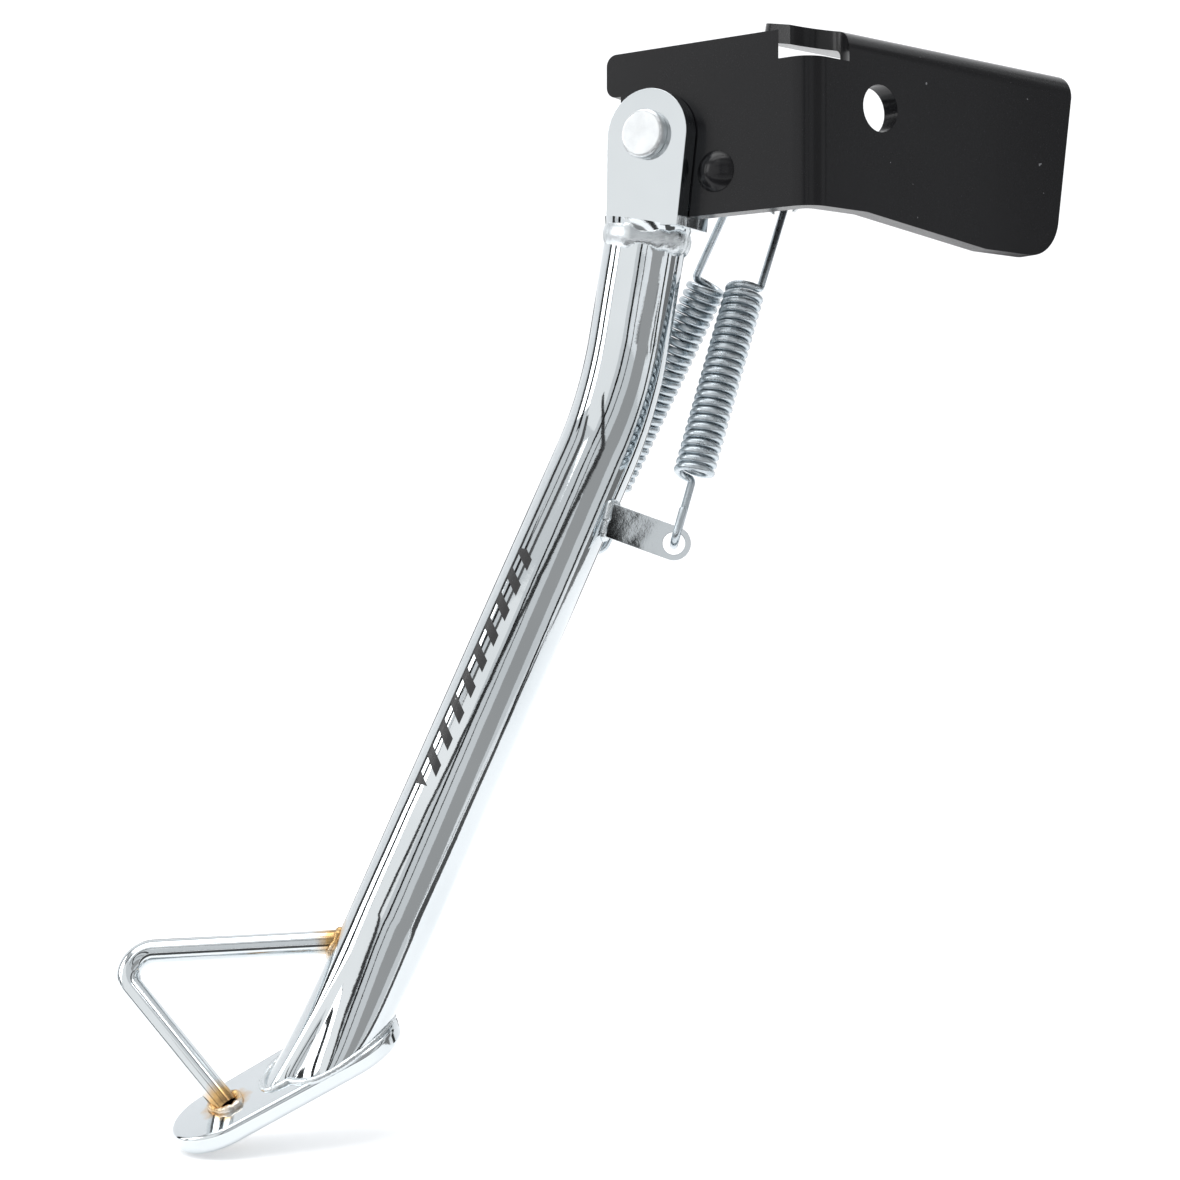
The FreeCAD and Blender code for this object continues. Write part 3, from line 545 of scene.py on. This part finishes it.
# ---- spring tabs --------------------------------------------------------------
# Two flat bars with round drilled ends, welded to the leg's sides and plated
# with it, each with a small lumpy bead round its root.
TAB_DROP, TAB_TILT, TAB_HALF_THICK, TAB_HALF_WIDE = 108.5, math.radians(20), 2.1, 4.6
TAB_HOLES = {"front": Vector((6.15, -4.0, -TAB_DROP)), "rear": Vector((-34.6, 14.0, -TAB_DROP))}


def from_leg(hole):
    """Level arm from the leg's axis to a tab's hole, and the level way through the tab."""
    flat = hole - leg_axis_at(TAB_DROP)
    flat.z = 0
    return flat, Vector((0, 0, 1)).cross(flat.normalized())


for name, seed in (("front", 12), ("rear", 17)):
    dress(rounded_copy(f"{name}_spring_tab", 0.0006, 3), chrome, "leg")
    hole = TAB_HOLES[name]
    flat, through = from_leg(hole)
    way = flat.normalized() * math.cos(TAB_TILT) - Vector((0, 0, 1)) * math.sin(TAB_TILT)
    base = hole - way * (flat.length / math.cos(TAB_TILT))
    wide = through.cross(way)
    loop = []
    for turn in round_turns(120):
        blunt = (abs(math.cos(turn)) ** 5 + abs(math.sin(turn)) ** 5) ** -0.2
        edge = (through * (TAB_HALF_THICK * math.cos(turn) * blunt)
                + wide * (TAB_HALF_WIDE * math.sin(turn) * blunt))
        loop.append(land_on_leg(base + edge, way))
    weld(f"{name}_tab_weld", loop, sum(loop, Vector()) / len(loop), 1.0, seed=seed, lumps=0.30, ripple=1.4)

# ---- springs ------------------------------------------------------------------
# Two close-wound extension springs of 2.1 mm zinc-plated wire. Each has a long
# upper eye over the post and a hook with an upturned end through its tab's hole.
wire, place, feed = material("spring_wire")
cloud = place.noise(240.0, 4.0, 0.6)
die = place.noise(3000.0, 1.0)
feed(Base_Color=cloud.tint((0.40, 0.46, 0.50, 1), (0.70, 0.75, 0.78, 1)), Metallic=1.0,
     Roughness=0.20 + cloud * 0.12 + die * 0.04, Normal=bumped(die + cloud, 0.08, 0.0001))
WIRE_R, RIM = 1.05, 4.45
POST_X, EYE_Z, POST_R = 18.0, -10.7, 4.0
UPPER_REACH, LOWER_REACH, HOOK_TIP = 30.0, 19.5, 9.0
EYE_PLAY, HOOK_PLAY, HOOK_ROUND = 0.15, 0.9, 0.66
TAB_HALF_DEEP, TAB_HALF_LONG = 2.0, 4.5
LEAD, COIL_STEP, LEAD_BENDS = math.radians(36), math.radians(11), [1.5, 1.25]
for name, eye_y, turned, turns in (("front", 29.5, 1, 23), ("rear", 19.5, -1, 26)):
    eye = Vector((POST_X, eye_y, EYE_Z))
    hook = TAB_HOLES[name]
    along = (hook - eye).normalized()
    side = along.cross(Vector((0, turned, 0))).normalized()
    other = along.cross(side)
    top = eye + along * UPPER_REACH
    end = hook - along * LOWER_REACH
    through = from_leg(hook)[1]
    skew = abs(through.dot(along))
    aside = (through - along * through.dot(along)).normalized()
    step = TAB_HALF_DEEP * math.sqrt(1 - skew ** 2) + TAB_HALF_LONG * skew + WIRE_R + HOOK_PLAY
    last = 2 * math.pi * turns + math.atan2(aside.dot(other), aside.dot(side)) % (2 * math.pi)
    span = (end - top).length

    def helix(turn):
        return top + along * (span * turn / last) + (side * math.cos(turn) + other * math.sin(turn)) * RIM

    count = int((last - 2 * LEAD) / COIL_STEP)
    path = [helix(LEAD * 0.9 + (last - 1.8 * LEAD) * i / count) for i in range(count + 1)]
    coil = sweep(f"{name}_spring_coil_wire", path, WIRE_R, 12, round_ends=False)
    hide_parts(f"{name}_spring_coil")
    dress(coil, wire, None)
    (top + PIVOT) / 1000
    (end + PIVOT) / 1000
    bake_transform(coil)
    grip = POST_R + WIRE_R + EYE_PLAY
    over = [eye + side * (grip * math.cos(turn)) - along * (grip * math.sin(turn))
            for turn in (math.radians(degrees) for degrees in range(0, 200, 8))]
    path = rounded_path([helix(LEAD), helix(LEAD / 2), helix(0.0), over[0]], LEAD_BENDS, 0.3)[:-1]
    upper = sweep(f"{name}_spring_upper_hook_wire", path + over, WIRE_R, 16)
    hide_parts(f"{name}_spring_upper_hook")
    dress(upper, wire, f"{name}_spring_upper")
    behind, before = hook + aside * step, hook - aside * step
    path = rounded_path([helix(last - LEAD), helix(last - LEAD / 2), helix(last), behind, before,
                         before - along * HOOK_TIP], LEAD_BENDS + [step * HOOK_ROUND] * 2, 0.3)
    lower = sweep(f"{name}_spring_lower_hook_wire", path, WIRE_R, 16)
    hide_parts(f"{name}_spring_lower_hook")
    dress(lower, wire, f"{name}_spring_lower")

# ---- floor and light ----------------------------------------------------------
# A white sweep, a broad soft light overhead and one at the side. Dark and grey
# cards, seen only in the plating, give the long bands.
toward = Vector((-0.5446, 0.8387, 0))
right = Vector((0.8387, 0.5446, 0))
centre = Vector((-0.08, -0.05, -0.2615))
FLOOR_NEAR, FLOOR_FAR, COVE_R, WALL_TOP, FLOOR_HALF = -3.0, 1.2, 1.0, 3.2, 4.5
profile = [(FLOOR_NEAR, 0.0), (FLOOR_FAR, 0.0)]
for turn in (math.radians(degrees) for degrees in range(6, 91, 6)):
    profile.append((FLOOR_FAR + COVE_R * math.sin(turn), COVE_R - COVE_R * math.cos(turn)))
profile.append((FLOOR_FAR + COVE_R, WALL_TOP))


def stage_mesh(name, verts, faces):
    """Mesh object that belongs to the stage, and the feed of its material."""
    mesh = bpy.data.meshes.new(name)
    mesh.from_pydata([tuple(vert) for vert in verts], [], faces)
    obj = bpy.data.objects.new(name, mesh)
    bpy.context.collection.objects.link(obj)
    mat, place, feed = material(name)
    mesh.materials.append(mat)
    return obj, feed


verts = [centre + toward * reach + right * wide + Vector((0, 0, height))
         for reach, height in profile for wide in (-FLOOR_HALF, FLOOR_HALF)]
faces = [(2 * i, 2 * i + 1, 2 * i + 3, 2 * i + 2) for i in range(len(profile) - 1)]
floor, feed = stage_mesh("white_sweep", verts, faces)
smooth(floor, 40.0)
feed(Base_Color=(0.86, 0.86, 0.865, 1), Roughness=0.9, Emission_Color=(1, 1, 1, 1), Emission_Strength=0.26)


def glow_card(name, corners, shade):
    """Flat card of one even brightness that only reflections show."""
    card, feed = stage_mesh(name, corners, [(0, 1, 2, 3)])
    feed(Base_Color=(0, 0, 0, 1), Roughness=1.0, Specular_IOR_Level=0.0,
         Emission_Color=(shade, shade, shade, 1), Emission_Strength=1.0)
    card.visible_camera = card.visible_diffuse = False
    card.visible_shadow = card.visible_transmission = False


middle = Vector((-0.085, -0.06, -0.12))
CARD_AWAY, CARD_WIDEST = 0.95, 1.4
cards = [(bearing, 0.0, width, 1.8, shade) for bearing, width, shade in (
    (-108, 10, 0.05), (-86, 8, 0.01), (-43, 50, 1.08), (-6, 5, 0.008), (10, 2.2, 0.05),
    (42, 30, 0.42), (76, 5, 0.03), (96, 18, 0.22), (118, 8, 0.03))]
cards += [(0, lift, 150, tall, shade) for lift, tall, shade in
          ((33, 0.06, 0.04), (62, 0.12, 0.10), (80, 0.05, 0.03))]
cards += [(bearing, 0.0, 9, 0.5, 0.04) for bearing in (-160, 160)]
for number, (bearing, lift, width, tall, shade) in enumerate(cards):
    way = -toward * math.cos(math.radians(bearing)) + right * math.sin(math.radians(bearing))
    cross = Vector((0, 0, 1)).cross(way)
    way = way * math.cos(math.radians(lift)) + Vector((0, 0, 1)) * math.sin(math.radians(lift))
    half = min(CARD_WIDEST, CARD_AWAY * math.tan(math.radians(width / 2)))
    sideways, upward = cross * half, way.cross(cross) * tall / 2
    spot = middle + way * CARD_AWAY
    glow_card(f"card_{number}", [spot - sideways - upward, spot + sideways - upward,
                                 spot + sideways + upward, spot - sideways + upward], shade)

FLOOR_CARD_HALF, FLOOR_CARD_UP = 1.2, Vector((0, 0, 0.002))
for name, near, far, shade in (("near", 0.10, 0.30, 0.10), ("mid", 0.42, 0.50, 0.03),
                               ("far", 0.62, 1.4, 0.28)):
    corners = [centre - toward * reach + right * (wide * FLOOR_CARD_HALF) + FLOOR_CARD_UP
               for reach, wide in ((near, -1), (far, -1), (far, 1), (near, 1))]
    glow_card(f"floor_card_{name}", corners, shade)

for name, at, size, power in (("overhead", Vector((-0.25, -0.35, 1.25)), 1.3, 13.0),
                              ("side", Vector((-1.05, -0.75, 0.35)), 0.7, 5.0)):
    lamp = bpy.data.lights.new(name, "AREA")
    lamp.size, lamp.energy = size, power
    light = bpy.data.objects.new(name, lamp)
    bpy.context.collection.objects.link(light)
    light.location = at
    light.rotation_euler = (middle - at).to_track_quat("-Z", "Y").to_euler()

world = bpy.data.worlds.new("studio")
world.use_nodes = True
sky = world.node_tree.nodes["Background"].inputs
sky["Color"].default_value = (0.97, 0.985, 1.0, 1)
sky["Strength"].default_value = 0.80
bpy.context.scene.world = world

lens = bpy.data.cameras.new("view")
lens.lens, lens.sensor_width, lens.sensor_fit = 67.1, 36.0, "HORIZONTAL"
lens.clip_start = 0.01
camera = bpy.data.objects.new("view", lens)
bpy.context.collection.objects.link(camera)
camera.location = (0.25297, -0.52696, -0.1265)
camera.rotation_euler = toward.to_track_quat("-Z", "Y").to_euler()
bpy.context.scene.camera = camera
bpy.context.scene.view_settings.view_transform = "Standard"
